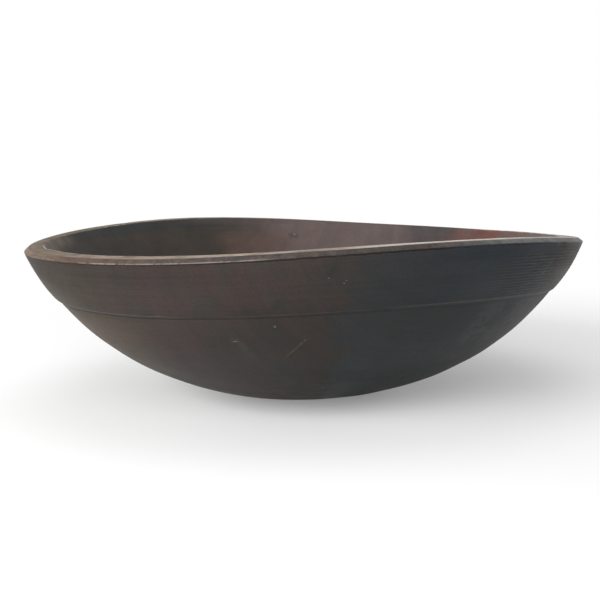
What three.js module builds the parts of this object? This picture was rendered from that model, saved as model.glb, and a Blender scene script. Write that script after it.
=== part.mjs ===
// Turned wooden bowl: one block of hardwood, turned round, then warped a little as it dried.
// Millimetres, +Z up. The origin is the middle of the flat foot, and the front faces -Y.

import * as THREE from 'three';

// Rim, as it left the lathe
const rimRadius = 197; // outer edge of the rim
const rimHeight = 109.5; // that edge above the table
const bevelWidth = 3.5; // chamfer from the outer edge up to the flat
const bevelRise = 2.7;
const rimFlatWidth = 10.7; // nearly level top of the rim
const rimFlatRise = 0.5;

// Collar, the plain band below the rim
const collarHeight = 32;
const collarFlare = 18.8; // how far it leans out over its height
const collarBulge = 1.35; // how far it stands out from straight
const collarBulgePlace = 0.4; // share of its height at which its curve's handle stands

// Shoulder, the small ledge by which the collar stands out over the belly
const shoulderWidth = 2.7;
const shoulderHeight = 1.9;

// Belly, one sweep from the shoulder down to the foot
const footRadius = 41.5; // the foot is a plain flat
const footSlope = 7.8; // degrees, where the belly leaves the foot
const bellySlope = 53.4; // degrees, where it meets the shoulder
const bellyFootPull = 0.364; // curve handles, as shares of the belly's chord
const bellyTopPull = 0.345;

// Inside, one sweep from the rim down to the middle of the floor
const floorThickness = 20;
const insideFloorPull = 0.52; // curve handles, as shares of the inside's chord
const insideRimPull = 0.33;

// Drying: the wood shrank across its grain, so the round bowl went oval and its rim went wavy
const grainAngle = -60; // degrees, direction of the grain seen from above
const ovalShare = 0.016; // longer by this share along the grain, and shorter across it
const rimWave = 5.4; // the rim rises at the ends of the grain and dips at its sides
const rimRipple = 0.7; // a smaller wave with four crests
const rimLean = 3.2; // the rim plane leans up on one side
const leanAngle = 165; // degrees, the side that it leans up on

// Fineness of the faceted surface
const roundSteps = 96;
const collarSteps = 4;
const bellySteps = 14;
const insideSteps = 18;

const degrees = Math.PI / 180;
const point = (radius, height) => new THREE.Vector2(radius, height);

// A point at a given distance from another, at a slope in degrees
function along(start, slope, distance) {
  const angle = slope * degrees;
  return point(start.x + distance * Math.cos(angle), start.y + distance * Math.sin(angle));
}

// Outline of the bowl's half section, from the axis below to the axis above

function bellyOutline(foot, shoulder) {
  const chord = foot.distanceTo(shoulder);
  const footHandle = along(foot, footSlope, bellyFootPull * chord);
  const topHandle = along(shoulder, bellySlope, -bellyTopPull * chord);
  return new THREE.CubicBezierCurve(foot, footHandle, topHandle, shoulder).getPoints(bellySteps);
}

function collarOutline(foot, edge) {
  const outwards = point(edge.y - foot.y, foot.x - edge.x).normalize();
  const handle = foot.clone().lerp(edge, collarBulgePlace).addScaledVector(outwards, 2 * collarBulge);
  return new THREE.QuadraticBezierCurve(foot, handle, edge).getPoints(collarSteps);
}

function insideOutline(lip, floor) {
  const lean = Math.atan2(collarHeight, collarFlare) / degrees;
  const chord = lip.distanceTo(floor);
  const lipHandle = along(lip, lean, -insideRimPull * chord);
  const floorHandle = along(floor, 0, insideFloorPull * chord);
  return new THREE.CubicBezierCurve(lip, lipHandle, floorHandle, floor).getPoints(insideSteps);
}

function bowlOutline() {
  const rimEdge = point(rimRadius, rimHeight);
  const bevelTop = point(rimEdge.x - bevelWidth, rimEdge.y + bevelRise);
  const innerLip = point(bevelTop.x - rimFlatWidth, bevelTop.y + rimFlatRise);
  const collarFoot = point(rimEdge.x - collarFlare, rimEdge.y - collarHeight);
  const shoulder = point(collarFoot.x - shoulderWidth, collarFoot.y - shoulderHeight);
  return [
    point(0, 0),
    ...bellyOutline(point(footRadius, 0), shoulder),
    ...collarOutline(collarFoot, rimEdge),
    bevelTop,
    ...insideOutline(innerLip, point(0, floorThickness)),
  ];
}

// Where a point of the round bowl goes as the wood dries. The flat foot keeps its height.
function dried(radius, height, angle) {
  const x = radius * Math.cos(angle);
  const y = radius * Math.sin(angle);
  const stretch = ovalShare * Math.cos(2 * grainAngle * degrees);
  const shear = ovalShare * Math.sin(2 * grainAngle * degrees);
  const reach = Math.max(0, (radius - footRadius) / (rimRadius - footRadius));
  const fromGrain = angle - grainAngle * degrees;
  const lean = reach * rimLean * Math.cos(angle - leanAngle * degrees);
  const wave = rimWave * Math.cos(2 * fromGrain) + rimRipple * Math.cos(4 * fromGrain);
  return new THREE.Vector3(
    x + stretch * x + shear * y,
    y + shear * x - stretch * y,
    height + lean + reach * reach * wave,
  );
}

// The outline turned about the upright axis, each point moved by the drying
function bowlGeometry() {
  const outline = bowlOutline();
  const geometry = new THREE.LatheGeometry(outline, roundSteps);
  const position = geometry.getAttribute('position');
  for (let index = 0; index < position.count; index += 1) {
    const step = Math.floor(index / outline.length) % roundSteps;
    const { x: radius, y: height } = outline[index % outline.length];
    const angle = (2 * Math.PI * step) / roundSteps - Math.PI / 2;
    const place = dried(radius, height, angle);
    position.setXYZ(index, place.x, place.y, place.z);
  }
  geometry.computeVertexNormals();
  return geometry;
}

const group = new THREE.Group();
const bowl = new THREE.Mesh(
  bowlGeometry(),
  new THREE.MeshStandardMaterial({ color: 0x46413e, roughness: 0.5, metalness: 0 }),
);
bowl.name = 'bowl';
group.add(bowl);

export default group;
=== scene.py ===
import math

import bpy
import numpy as np
from mathutils import Matrix, Vector


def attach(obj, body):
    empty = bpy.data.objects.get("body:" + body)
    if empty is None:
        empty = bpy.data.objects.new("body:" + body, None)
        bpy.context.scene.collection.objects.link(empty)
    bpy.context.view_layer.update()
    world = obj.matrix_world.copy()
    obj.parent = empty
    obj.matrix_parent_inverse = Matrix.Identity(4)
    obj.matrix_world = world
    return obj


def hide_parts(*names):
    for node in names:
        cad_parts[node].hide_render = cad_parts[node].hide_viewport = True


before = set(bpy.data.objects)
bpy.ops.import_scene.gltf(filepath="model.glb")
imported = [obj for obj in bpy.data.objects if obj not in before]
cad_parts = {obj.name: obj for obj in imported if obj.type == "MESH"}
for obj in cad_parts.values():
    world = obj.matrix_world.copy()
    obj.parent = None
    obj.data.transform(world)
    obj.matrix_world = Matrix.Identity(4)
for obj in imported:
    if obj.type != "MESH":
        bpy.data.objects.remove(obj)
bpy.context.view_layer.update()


# Shape

# What a user would change on the bowl's turned form, in metres and degrees
turnedShape = {
    "rimRadius": 0.197,
    "rimHeight": 0.1095,
    "bevelWidth": 0.0035,
    "bevelRise": 0.0027,
    "rimFlatWidth": 0.0107,
    "rimFlatRise": 0.0005,
    "collarHeight": 0.032,
    "collarFlare": 0.0188,
    "collarBulge": 0.00135,
    "collarBulgePlace": 0.4,
    "shoulderWidth": 0.0027,
    "shoulderHeight": 0.0019,
    "footRadius": 0.0415,
    "footSlope": 7.8,
    "bellySlope": 53.4,
    "bellyFootPull": 0.364,  # curve handles, as shares of the chord
    "bellyTopPull": 0.345,
    "floorThickness": 0.02,
    "insideFloorPull": 0.52,
    "insideRimPull": 0.33,
    "edgeWear": 0.00045,  # how far each turned edge is rubbed round
}

# How the wood moved as it dried
dryingWarp = {
    "grainAngle": -60,
    "ovalShare": 0.016,
    "rimWave": 0.0054,
    "rimRipple": 0.0007,
    "rimLean": 0.0032,
    "leanAngle": 165,
}

# Tool marks left on the collar: a spiral of hollow cuts with a crest between, deep where the tool tore
toolMarks = {
    "pitch": 0.0021,
    "depth": 0.00026,
    "faintShare": 0.05,
    "roughAngle": -30,
    "roughSpread": 20,
    "plainTop": 0.007,  # stretch under the rim that was cut clean
}

# Cut in the corner under the collar, and wear along the rim's two edges
edgeDetail = {
    "grooveDepth": 0.00035,
    "grooveWidth": 0.0007,
    "shallowAngle": -57,  # degrees, where the cut is nearly worn away
    "rubDepth": 0.00035,
    "rubWidth": 0.0013,
    "unevenness": 0.00012,  # how far the surface strays by hand finishing
    "seed": 7,
}

# Knocks: angle round the bowl, outline distance, size and depth
dents = [
    (-37, 0.2385, 0.0032, 0.0006),
    (-172, 0.2552, 0.0040, 0.0007),
    (-158, 0.2556, 0.0036, 0.0005),
    (-119, 0.2030, 0.0034, 0.0005),
    (-106, 0.1720, 0.0080, 0.0003),
    (92, 0.2720, 0.0060, 0.0004),
    (24, 0.2402, 0.0042, 0.0006),
    (71, 0.2250, 0.0060, 0.0004),
    (-8, 0.1500, 0.0070, 0.0004),
    (141, 0.2404, 0.0050, 0.0005),
    (163, 0.1750, 0.0060, 0.0004),
]

# Distance between rows of the surface in metres, and columns round the bowl
gridSpacing = {
    "plain": 0.0036,
    "fine": 0.0003,
    "rim": 0.0004,
    "reach": 0.004,  # how far the fine rows run on past the foot's edge, the shoulder and the rim
    "columns": 300,
}


def bezier(start, startHandle, endHandle, end, count=400):
    # cubic: each point is the four corners weighted by the Bernstein terms of its share t
    t = np.linspace(0, 1, count)[:, None]
    return (
        (1 - t) ** 3 * start
        + 3 * t * (1 - t) ** 2 * startHandle
        + 3 * t**2 * (1 - t) * endHandle
        + t**3 * end
    )


def straight(start, end, count=120):
    return start + np.linspace(0, 1, count)[:, None] * (end - start)


def direction(degrees):
    angle = math.radians(degrees)
    return np.array([math.cos(angle), math.sin(angle)])


def outlineStretches(shape):
    # the half section as named stretches of (radius, height), foot first and floor last
    edge = np.array([shape["rimRadius"], shape["rimHeight"]])
    bevelTop = edge + [-shape["bevelWidth"], shape["bevelRise"]]
    lip = bevelTop + [-shape["rimFlatWidth"], shape["rimFlatRise"]]
    collarFoot = edge - [shape["collarFlare"], shape["collarHeight"]]
    shoulder = collarFoot - [shape["shoulderWidth"], shape["shoulderHeight"]]
    centre = np.array([0.0, 0.0])
    foot = np.array([shape["footRadius"], 0.0])
    floor = np.array([0.0, shape["floorThickness"]])

    bellyChord = np.linalg.norm(shoulder - foot)
    footHandle = foot + shape["bellyFootPull"] * bellyChord * direction(shape["footSlope"])
    topHandle = shoulder - shape["bellyTopPull"] * bellyChord * direction(shape["bellySlope"])

    # collar: two ends and one handle, weighted by the square terms of the share t
    outwards = np.array([shape["collarHeight"], -shape["collarFlare"]])
    outwards = outwards / np.linalg.norm(outwards)
    handle = collarFoot + shape["collarBulgePlace"] * (edge - collarFoot)
    handle = handle + 2 * shape["collarBulge"] * outwards
    t = np.linspace(0, 1, 160)[:, None]
    collar = (1 - t) ** 2 * collarFoot + 2 * t * (1 - t) * handle + t**2 * edge

    insideChord = np.linalg.norm(lip - floor)
    lean = np.array([shape["collarFlare"], shape["collarHeight"]])
    lean = lean / np.linalg.norm(lean)
    lipHandle = lip - shape["insideRimPull"] * insideChord * lean
    floorHandle = floor + np.array([shape["insideFloorPull"] * insideChord, 0.0])
    return {
        "foot": straight(centre, foot),
        "belly": bezier(foot, footHandle, topHandle, shoulder),
        "shoulder": straight(shoulder, collarFoot),
        "collar": collar,
        "bevel": straight(edge, bevelTop),
        "rimFlat": straight(bevelTop, lip),
        "inside": bezier(lip, lipHandle, floorHandle, floor),
    }


def measureOutline(stretches):
    # joins the stretches and gives each point's distance along the outline, and where each one ends
    points = [stretches["foot"][:1]]
    ends = {}
    count = 1
    for name, stretch in stretches.items():
        points.append(stretch[1:])
        count += len(stretch) - 1
        ends[name] = count - 1
    points = np.concatenate(points)
    steps = np.linalg.norm(np.diff(points, axis=0), axis=1)
    distance = np.concatenate([[0], np.cumsum(steps)])
    return points, distance, {name: distance[index] for name, index in ends.items()}


def roundedOutline(points, distance, wear, spacing=0.00005):
    # resamples evenly, then averages over a bell of width wear, which rounds the corners alone
    even = np.arange(0, distance[-1], spacing)
    even = np.append(even, distance[-1])
    radius = np.interp(even, distance, points[:, 0])
    height = np.interp(even, distance, points[:, 1])
    reach = int(4 * wear / spacing)
    bell = np.exp(-0.5 * (np.arange(-reach, reach + 1) * spacing / wear) ** 2)
    bell /= bell.sum()
    radius = np.convolve(np.pad(radius, reach, mode="reflect", reflect_type="odd"), bell, "valid")
    height = np.convolve(np.pad(height, reach, mode="edge"), bell, "valid")
    return even, radius, height


def rowDistances(ends, spacing):
    # outline distance of each row: coarse on the sweeps, fine over the foot's edge, collar and rim
    reach = spacing["reach"]
    plan = [
        (ends["foot"] - reach, spacing["plain"]),
        (ends["foot"] + reach, 3 * spacing["fine"]),
        (ends["belly"] - reach, spacing["plain"]),
        (ends["collar"] + spacing["fine"], spacing["fine"]),
        (ends["rimFlat"] + reach / 2, spacing["rim"]),
        (ends["rimFlat"] + 2 * reach, 3 * spacing["rim"]),
        (ends["inside"], spacing["plain"]),
    ]
    rows = []
    start = 0.0
    for end, step in plan:
        count = max(1, round((end - start) / step))
        rows.append(np.linspace(start, end, count, endpoint=False))
        start = end
    return np.concatenate(rows)[1:]


def roundNoise(angle, waves, random):
    # smooth noise round the bowl: cosines of whole numbers of waves with random starts
    total = np.zeros_like(angle)
    for count in waves:
        total = total + np.cos(count * angle + random.uniform(0, 2 * np.pi))
    return total / math.sqrt(len(waves))


def bellOf(distance, width):
    return np.exp(-((distance / width) ** 2))


def toolRidges(distance, angle, ends):
    # hollow cuts: less |sine| of half a turn for each pitch of distance, minus the turn made round the bowl
    marks = toolMarks
    meanSine = 2 / math.pi
    ridge = meanSine - np.abs(np.sin(np.pi * distance / marks["pitch"] - angle / 2))
    fromRough = np.sin(angle - math.radians(marks["roughAngle"]))
    rough = bellOf(fromRough, math.sin(math.radians(marks["roughSpread"])))
    uneven = 0.75 + 0.25 * np.cos(31 * angle + distance / 0.0011) * np.cos(17 * angle - distance / 0.0019)
    strength = marks["faintShare"] + (1 - marks["faintShare"]) * rough * uneven
    inCollar = np.clip((distance - ends["shoulder"]) / 0.002, 0, 1)
    inCollar = inCollar * np.clip((ends["collar"] - distance) / marks["plainTop"], 0, 1) ** 1.5
    return marks["depth"] * ridge * strength * inCollar


def wearSwell(distance, angle, ends):
    # how far the surface stands out or in: groove, rubbed edges, hand unevenness and knocks
    detail = edgeDetail
    random = np.random.default_rng(detail["seed"])
    cut = 0.75 + 0.25 * roundNoise(angle, [3, 5, 9, 14], random)
    cut = cut * (1 - 0.8 * np.clip((np.cos(angle - math.radians(detail["shallowAngle"])) - 0.8) / 0.15, 0, 1))
    swell = -detail["grooveDepth"] * cut * bellOf(distance - ends["belly"], detail["grooveWidth"])
    for edge in ("collar", "rimFlat"):
        rub = 0.5 + 0.35 * roundNoise(angle, [2, 5, 11, 17, 29, 41], random)
        swell -= detail["rubDepth"] * np.clip(rub, 0, 1.5) * bellOf(distance - ends[edge], detail["rubWidth"])
    stray = np.zeros(np.broadcast(distance, angle).shape)
    for count in (2, 3, 5, 7, 11):
        length = random.uniform(0.03, 0.09)
        start = random.uniform(0, 2 * np.pi)
        stray += np.cos(count * angle + 2 * np.pi * distance / length + start)
    onSweep = np.clip((distance - ends["foot"]) / 0.03, 0, 1)
    onSweep = onSweep * np.clip((ends["inside"] - distance) / 0.03, 0, 1)
    swell = swell + detail["unevenness"] * stray / 2 * onSweep
    for degrees, place, size, depth in dents:
        turn = (angle - math.radians(degrees) + np.pi) % (2 * np.pi) - np.pi
        away = np.hypot(turn * turnedShape["rimRadius"], distance - place)
        swell = swell - depth * bellOf(away, size)
    return swell


def dryOut(radius, height, angle, shape, warp):
    # oval: stretched along the grain and shrunk across it; rim: waves twice and four times round, leans
    grain = math.radians(warp["grainAngle"])
    stretch = warp["ovalShare"] * math.cos(2 * grain)
    shear = warp["ovalShare"] * math.sin(2 * grain)
    x = radius * np.cos(angle)
    y = radius * np.sin(angle)
    reach = np.clip((radius - shape["footRadius"]) / (shape["rimRadius"] - shape["footRadius"]), 0, None)
    lean = reach * warp["rimLean"] * np.cos(angle - math.radians(warp["leanAngle"]))
    wave = warp["rimWave"] * np.cos(2 * (angle - grain)) + warp["rimRipple"] * np.cos(4 * (angle - grain))
    return x + stretch * x + shear * y, y + shear * x - stretch * y, height + lean + reach**2 * wave


def makeBowl():
    stretches = outlineStretches(turnedShape)
    points, distance, ends = measureOutline(stretches)
    even, radius, height = roundedOutline(points, distance, turnedShape["edgeWear"])
    rows = rowDistances(ends, gridSpacing)
    columnCount = gridSpacing["columns"]
    rowRadius = np.interp(rows, even, radius)
    rowHeight = np.interp(rows, even, height)
    slopeRadius = np.interp(rows, even, np.gradient(radius, even))
    slopeHeight = np.interp(rows, even, np.gradient(height, even))
    slope = np.hypot(slopeRadius, slopeHeight)

    # each grid point steps out of the turned outline by its swell; the seam lies at the back
    angle = np.linspace(0, 2 * np.pi, columnCount, endpoint=False) + np.pi / 2
    rowGrid = rows[:, None]
    swell = toolRidges(rowGrid, angle[None, :], ends) + wearSwell(rowGrid, angle[None, :], ends)
    gridRadius = rowRadius[:, None] + swell * (slopeHeight / slope)[:, None]
    gridHeight = rowHeight[:, None] - swell * (slopeRadius / slope)[:, None]
    x, y, z = dryOut(gridRadius, gridHeight, angle[None, :], turnedShape, dryingWarp)
    z = np.where(rowGrid < ends["foot"], 0.0, np.maximum(z, 0.0))
    grid = np.stack([x, y, z], axis=-1).reshape(-1, 3)
    poles = np.array([[0, 0, 0], [0, 0, turnedShape["floorThickness"]]])
    vertices = np.concatenate([grid, poles])

    # quads between neighbouring rows and columns, and a fan of triangles at each pole
    rowCount = len(rows)
    row, column = np.meshgrid(np.arange(rowCount - 1), np.arange(columnCount), indexing="ij")
    across = (column + 1) % columnCount
    corners = np.stack(
        [
            row * columnCount + column,
            row * columnCount + across,
            (row + 1) * columnCount + across,
            (row + 1) * columnCount + column,
        ],
        axis=-1,
    ).reshape(-1, 4)
    columns = np.arange(columnCount)
    following = (columns + 1) % columnCount
    lastRow = (rowCount - 1) * columnCount
    footPole = np.full(columnCount, len(grid))
    footFan = np.stack([footPole, following, columns], axis=-1)
    floorFan = np.stack([footPole + 1, lastRow + columns, lastRow + following], axis=-1)

    mesh = bpy.data.meshes.new("turnedBowl")
    mesh.from_pydata(vertices.tolist(), [], corners.tolist() + footFan.tolist() + floorFan.tolist())
    mesh.shade_smooth()

    # own map, in metres: round the bowl at the rim's radius, and along the outline
    turn = np.concatenate(
        [
            np.stack([column, column + 1, column + 1, column], axis=-1).reshape(-1),
            np.stack([columns, columns + 1, columns], axis=-1).reshape(-1),
            np.stack([columns, columns, columns + 1], axis=-1).reshape(-1),
        ]
    )
    edges = np.concatenate([[0], rows, [even[-1]]])
    place = np.concatenate(
        [
            np.stack([row, row, row + 1, row + 1], axis=-1).reshape(-1) + 1,
            np.tile([0, 1, 1], columnCount),
            np.tile([rowCount + 1, rowCount, rowCount], columnCount),
        ]
    )
    around = turn / columnCount * 2 * np.pi * turnedShape["rimRadius"]
    layer = mesh.uv_layers.new(name="turned")
    layer.data.foreach_set("uv", np.stack([around, edges[place]], axis=-1).reshape(-1).astype(np.float32))
    mesh.validate()

    bowl = bpy.data.objects.new("turned_bowl", mesh)
    bpy.context.collection.objects.link(bowl)
    triangles = 2 * len(corners) + 2 * columnCount
    print("bowl surface:", rowCount, "rows,", triangles, "triangles")
    return bowl, ends


bowl, outlineEnds = makeBowl()


# Node helpers

def addNode(tree, kind, settings=None, inputs=None):
    shaderNode = tree.nodes.new(kind)
    count = len(tree.nodes)
    shaderNode.location = (220 * (count // 10), -170 * (count % 10))
    for name, value in (settings or {}).items():
        setattr(shaderNode, name, value)
    for name, value in (inputs or {}).items():
        if isinstance(value, bpy.types.NodeSocket):
            tree.links.new(value, shaderNode.inputs[name])
        else:
            shaderNode.inputs[name].default_value = value
    return shaderNode


def calc(tree, operation, *values):
    return addNode(tree, "ShaderNodeMath", {"operation": operation}, dict(enumerate(values))).outputs[0]


def vectorCalc(tree, operation, *values):
    made = addNode(tree, "ShaderNodeVectorMath", {"operation": operation}, dict(enumerate(values)))
    return made.outputs["Value" if operation in ("DOT_PRODUCT", "LENGTH", "DISTANCE") else "Vector"]


def fade(tree, value, low, high, bottom=0.0, top=1.0):
    # smooth step: bottom below low, top above high
    inputs = {"Value": value, "From Min": low, "From Max": high, "To Min": bottom, "To Max": top}
    return addNode(tree, "ShaderNodeMapRange", {"interpolation_type": "SMOOTHSTEP"}, inputs).outputs[0]


def noise(tree, place, scale, detail=2.0, roughness=0.5):
    inputs = {"Vector": place, "Scale": scale, "Detail": detail, "Roughness": roughness}
    return addNode(tree, "ShaderNodeTexNoise", None, inputs).outputs[0]


def mixTone(tree, share, below, above, mode="MIX"):
    settings = {"data_type": "RGBA", "blend_type": mode}
    inputs = {0: share, 6: colourOf(below), 7: colourOf(above)}
    return addNode(tree, "ShaderNodeMix", settings, inputs).outputs[2]


def colourOf(tone):
    return tone if isinstance(tone, bpy.types.NodeSocket) else (*tone, 1.0)


def total(tree, *values):
    result = values[0]
    for value in values[1:]:
        result = calc(tree, "ADD", result, value)
    return result


def product(tree, *values):
    result = values[0]
    for value in values[1:]:
        result = calc(tree, "MULTIPLY", result, value)
    return result


def most(tree, *values):
    result = values[0]
    for value in values[1:]:
        result = calc(tree, "MAXIMUM", result, value)
    return result


def strayOf(tree, value):
    # how far a noise strays from its middle
    return calc(tree, "SUBTRACT", value, 0.5)


def greyOf(tree, value):
    return addNode(tree, "ShaderNodeCombineColor", None, {0: value, 1: value, 2: value}).outputs[0]


def makeGroup(name, inputs, outputs):
    tree = bpy.data.node_groups.new(name, "ShaderNodeTree")
    for label, value in inputs.items():
        kind = "NodeSocketVector" if isinstance(value, tuple) else "NodeSocketFloat"
        tree.interface.new_socket(label, in_out="INPUT", socket_type=kind).default_value = value
    for label in outputs:
        tree.interface.new_socket(label, in_out="OUTPUT", socket_type="NodeSocketFloat")
    taken = tree.nodes.new("NodeGroupInput").outputs
    given = tree.nodes.new("NodeGroupOutput").inputs
    return tree, taken, given


def useGroup(tree, name, **inputs):
    settings = {"node_tree": bpy.data.node_groups[name]}
    spaced = {label.replace("_", " "): value for label, value in inputs.items()}
    return addNode(tree, "ShaderNodeGroup", settings, spaced).outputs


# Effects

def makeOutlineBand():
    # 1 between two outline distances, fading over the softness; the borders wander by the ragged noise
    inputs = {"Distance": 0.0, "From": 0.0, "To": 1.0, "Softness": 0.001, "Wander": 0.0}
    tree, taken, given = makeGroup("outlineBand", inputs, ["Mask"])
    place = calc(tree, "ADD", taken["Distance"], taken["Wander"])
    rise = fade(
        tree,
        place,
        calc(tree, "SUBTRACT", taken["From"], taken["Softness"]),
        calc(tree, "ADD", taken["From"], taken["Softness"]),
    )
    fall = fade(
        tree,
        place,
        calc(tree, "SUBTRACT", taken["To"], taken["Softness"]),
        calc(tree, "ADD", taken["To"], taken["Softness"]),
        1.0,
        0.0,
    )
    tree.links.new(calc(tree, "MULTIPLY", rise, fall), given["Mask"])


def makeRoundSector():
    # 1 within Near degrees of a direction round the bowl, 0 beyond Far degrees; the turn is in radians
    inputs = {"Turn": 0.0, "Angle": 0.0, "Near": 10.0, "Far": 20.0}
    tree, taken, given = makeGroup("roundSector", inputs, ["Mask"])
    away = calc(tree, "SUBTRACT", taken["Turn"], calc(tree, "RADIANS", taken["Angle"]))
    closeness = calc(tree, "COSINE", away)
    far = calc(tree, "COSINE", calc(tree, "RADIANS", taken["Far"]))
    near = calc(tree, "COSINE", calc(tree, "RADIANS", taken["Near"]))
    tree.links.new(fade(tree, closeness, far, near), given["Mask"])


def makeGrainFigure():
    # wood in its own frame, grain along x and pith on the x axis: rings round it, fibres and pores along it
    inputs = {"Place": (0.0, 0.0, 0.0), "Ring Spacing": 0.0035}
    tree, taken, given = makeGroup("grainFigure", inputs, ["Rings", "Fibres", "Pores"])
    long = vectorCalc(tree, "MULTIPLY", taken["Place"], (0.25, 1.0, 1.0))
    swaying = addNode(tree, "ShaderNodeTexNoise", None, {"Vector": long, "Scale": 18.0, "Detail": 2.0})
    sway = swaying.outputs[1]
    sway = vectorCalc(tree, "SUBTRACT", sway, (0.5, 0.5, 0.5))
    sway = vectorCalc(tree, "MULTIPLY", sway, (0.0, 0.012, 0.012))
    place = vectorCalc(tree, "ADD", taken["Place"], sway)
    radius = vectorCalc(tree, "LENGTH", vectorCalc(tree, "MULTIPLY", place, (0.0, 1.0, 1.0)))
    along = addNode(tree, "ShaderNodeSeparateXYZ", None, {0: place}).outputs[0]
    layer = addNode(
        tree,
        "ShaderNodeCombineXYZ",
        None,
        {0: calc(tree, "MULTIPLY", along, 3.0), 1: calc(tree, "DIVIDE", radius, taken["Ring Spacing"])},
    ).outputs[0]
    tree.links.new(noise(tree, layer, 1.0, 2.0, 0.5), given["Rings"])
    strands = vectorCalc(tree, "MULTIPLY", place, (22.0, 950.0, 950.0))
    tree.links.new(noise(tree, strands, 1.0, 3.0, 0.6), given["Fibres"])
    tubes = vectorCalc(tree, "MULTIPLY", place, (110.0, 2100.0, 2100.0))
    tree.links.new(fade(tree, noise(tree, tubes, 1.0, 1.0), 0.64, 0.74), given["Pores"])


def makeTurningLines():
    # fine rings left by the lathe: noise squeezed along the outline, changing slowly round the bowl
    inputs = {"Place": (0.0, 0.0, 0.0), "Distance": 0.0, "Pitch": 0.001}
    tree, taken, given = makeGroup("turningLines", inputs, ["Lines"])
    parts = addNode(tree, "ShaderNodeSeparateXYZ", None, {0: taken["Place"]}).outputs
    squeezed = addNode(
        tree,
        "ShaderNodeCombineXYZ",
        None,
        {
            0: calc(tree, "MULTIPLY", parts[0], 7.0),
            1: calc(tree, "MULTIPLY", parts[1], 7.0),
            2: calc(tree, "DIVIDE", taken["Distance"], taken["Pitch"]),
        },
    ).outputs[0]
    tree.links.new(noise(tree, squeezed, 1.0, 2.0, 0.6), given["Lines"])


def makeScratchMark():
    # 1 on a line between two places of the bowl's own map, 0 beyond its width
    places = {"Map Place": (0.0, 0.0, 0.0), "Start": (0.0, 0.0, 0.0), "End": (0.0, 0.0, 0.0)}
    tree, taken, given = makeGroup("scratchMark", {**places, "Width": 0.0005}, ["Mask"])
    line = vectorCalc(tree, "SUBTRACT", taken["End"], taken["Start"])
    reach = vectorCalc(tree, "SUBTRACT", taken["Map Place"], taken["Start"])
    along = calc(
        tree,
        "DIVIDE",
        vectorCalc(tree, "DOT_PRODUCT", reach, line),
        vectorCalc(tree, "DOT_PRODUCT", line, line),
    )
    along = addNode(tree, "ShaderNodeClamp", None, {0: along}).outputs[0]
    step = addNode(tree, "ShaderNodeVectorMath", {"operation": "SCALE"}, {0: line, "Scale": along}).outputs[0]
    away = vectorCalc(tree, "LENGTH", vectorCalc(tree, "SUBTRACT", reach, step))
    core = fade(tree, calc(tree, "DIVIDE", away, taken["Width"]), 0.2, 1.0, 1.0, 0.0)
    tree.links.new(core, given["Mask"])


def makeFineScuffs():
    # short hairline rubs in one direction: noise stretched along it, only its peaks kept
    inputs = {"Place": (0.0, 0.0, 0.0), "Angle": 0.0, "Amount": 0.68}
    tree, taken, given = makeGroup("fineScuffs", inputs, ["Mask"])
    turn = calc(tree, "RADIANS", taken["Angle"])
    rotated = addNode(
        tree,
        "ShaderNodeVectorRotate",
        {"rotation_type": "AXIS_ANGLE"},
        {"Vector": taken["Place"], "Axis": (0.3, 0.2, 0.93), "Angle": turn},
    ).outputs[0]
    hair = noise(tree, vectorCalc(tree, "MULTIPLY", rotated, (38.0, 1500.0, 190.0)), 1.0, 2.0, 0.5)
    high = calc(tree, "ADD", taken["Amount"], 0.06)
    tree.links.new(fade(tree, hair, taken["Amount"], high), given["Mask"])


makeOutlineBand()
makeRoundSector()
makeGrainFigure()
makeTurningLines()
makeScratchMark()
makeFineScuffs()
print("effects")


# Finish

# Tones of the aged wood, some also used for painted shade and painted highlight, as linear red, green and
# blue
tones = {
    "mauve": (0.0600, 0.0450, 0.0420),
    "moss": (0.0520, 0.0465, 0.0425),
    "olive": (0.0400, 0.0315, 0.0205),
    "slate": (0.0450, 0.0465, 0.0480),
    "teal": (0.0420, 0.0480, 0.0505),
    "navyShade": (0.0380, 0.0440, 0.0530),
    "steel": (0.0480, 0.0540, 0.0610),
    "smudge": (0.0330, 0.0370, 0.0340),
    "rubbedBrown": (0.1060, 0.0830, 0.0640),
    "rubbedSlate": (0.0950, 0.0980, 0.1010),
    "rubbedPink": (0.1250, 0.1030, 0.0980),
    "tip": (0.0800, 0.0690, 0.0550),
    # crest is also the tone of the painted highlight on the shoulder's edge
    "crest": (0.1300, 0.1250, 0.1180),
    "shadeAndDirt": (0.0120, 0.0110, 0.0110),
    "underRimShade": (0.0230, 0.0170, 0.0145),
    "bareTan": (0.2800, 0.2230, 0.1750),
    "bareGrey": (0.6000, 0.5450, 0.4950),
    "barePale": (0.7500, 0.7050, 0.6600),
    "bareOlive": (0.1200, 0.0930, 0.0650),
    "rimDirt": (0.0750, 0.0560, 0.0450),
    "bevelPale": (0.1300, 0.0930, 0.0660),
    "bevelPink": (0.0870, 0.0610, 0.0490),
    "bevelBrown": (0.0630, 0.0540, 0.0500),
    "bevelGrey": (0.1450, 0.1470, 0.1450),
    "insideDark": (0.0510, 0.0430, 0.0370),
    "insideBlue": (0.0370, 0.0390, 0.0400),
    "insidePale": (0.1500, 0.1290, 0.1080),
    "insideGrey": (0.0720, 0.0600, 0.0600),
    "insideRose": (0.1170, 0.0870, 0.0820),
    "insideRust": (0.0920, 0.0570, 0.0470),
    "insideRed": (0.1150, 0.0480, 0.0370),
    "insideFloor": (0.0900, 0.0690, 0.0600),
    "fleck": (0.3000, 0.2750, 0.2400),
    "ochre": (0.2100, 0.1700, 0.1000),
}

# Wood figure: where the heart of the log lay above the foot, and how far apart its rings are
woodFigure = {
    "pithHeight": 0.175,
    "ringSpacing": 0.0036,
    "stainAngle": -53,  # degrees, where the stain took dark on the end grain, and opposite
    "stainNear": 24,
    "stainFar": 33,
}

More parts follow.
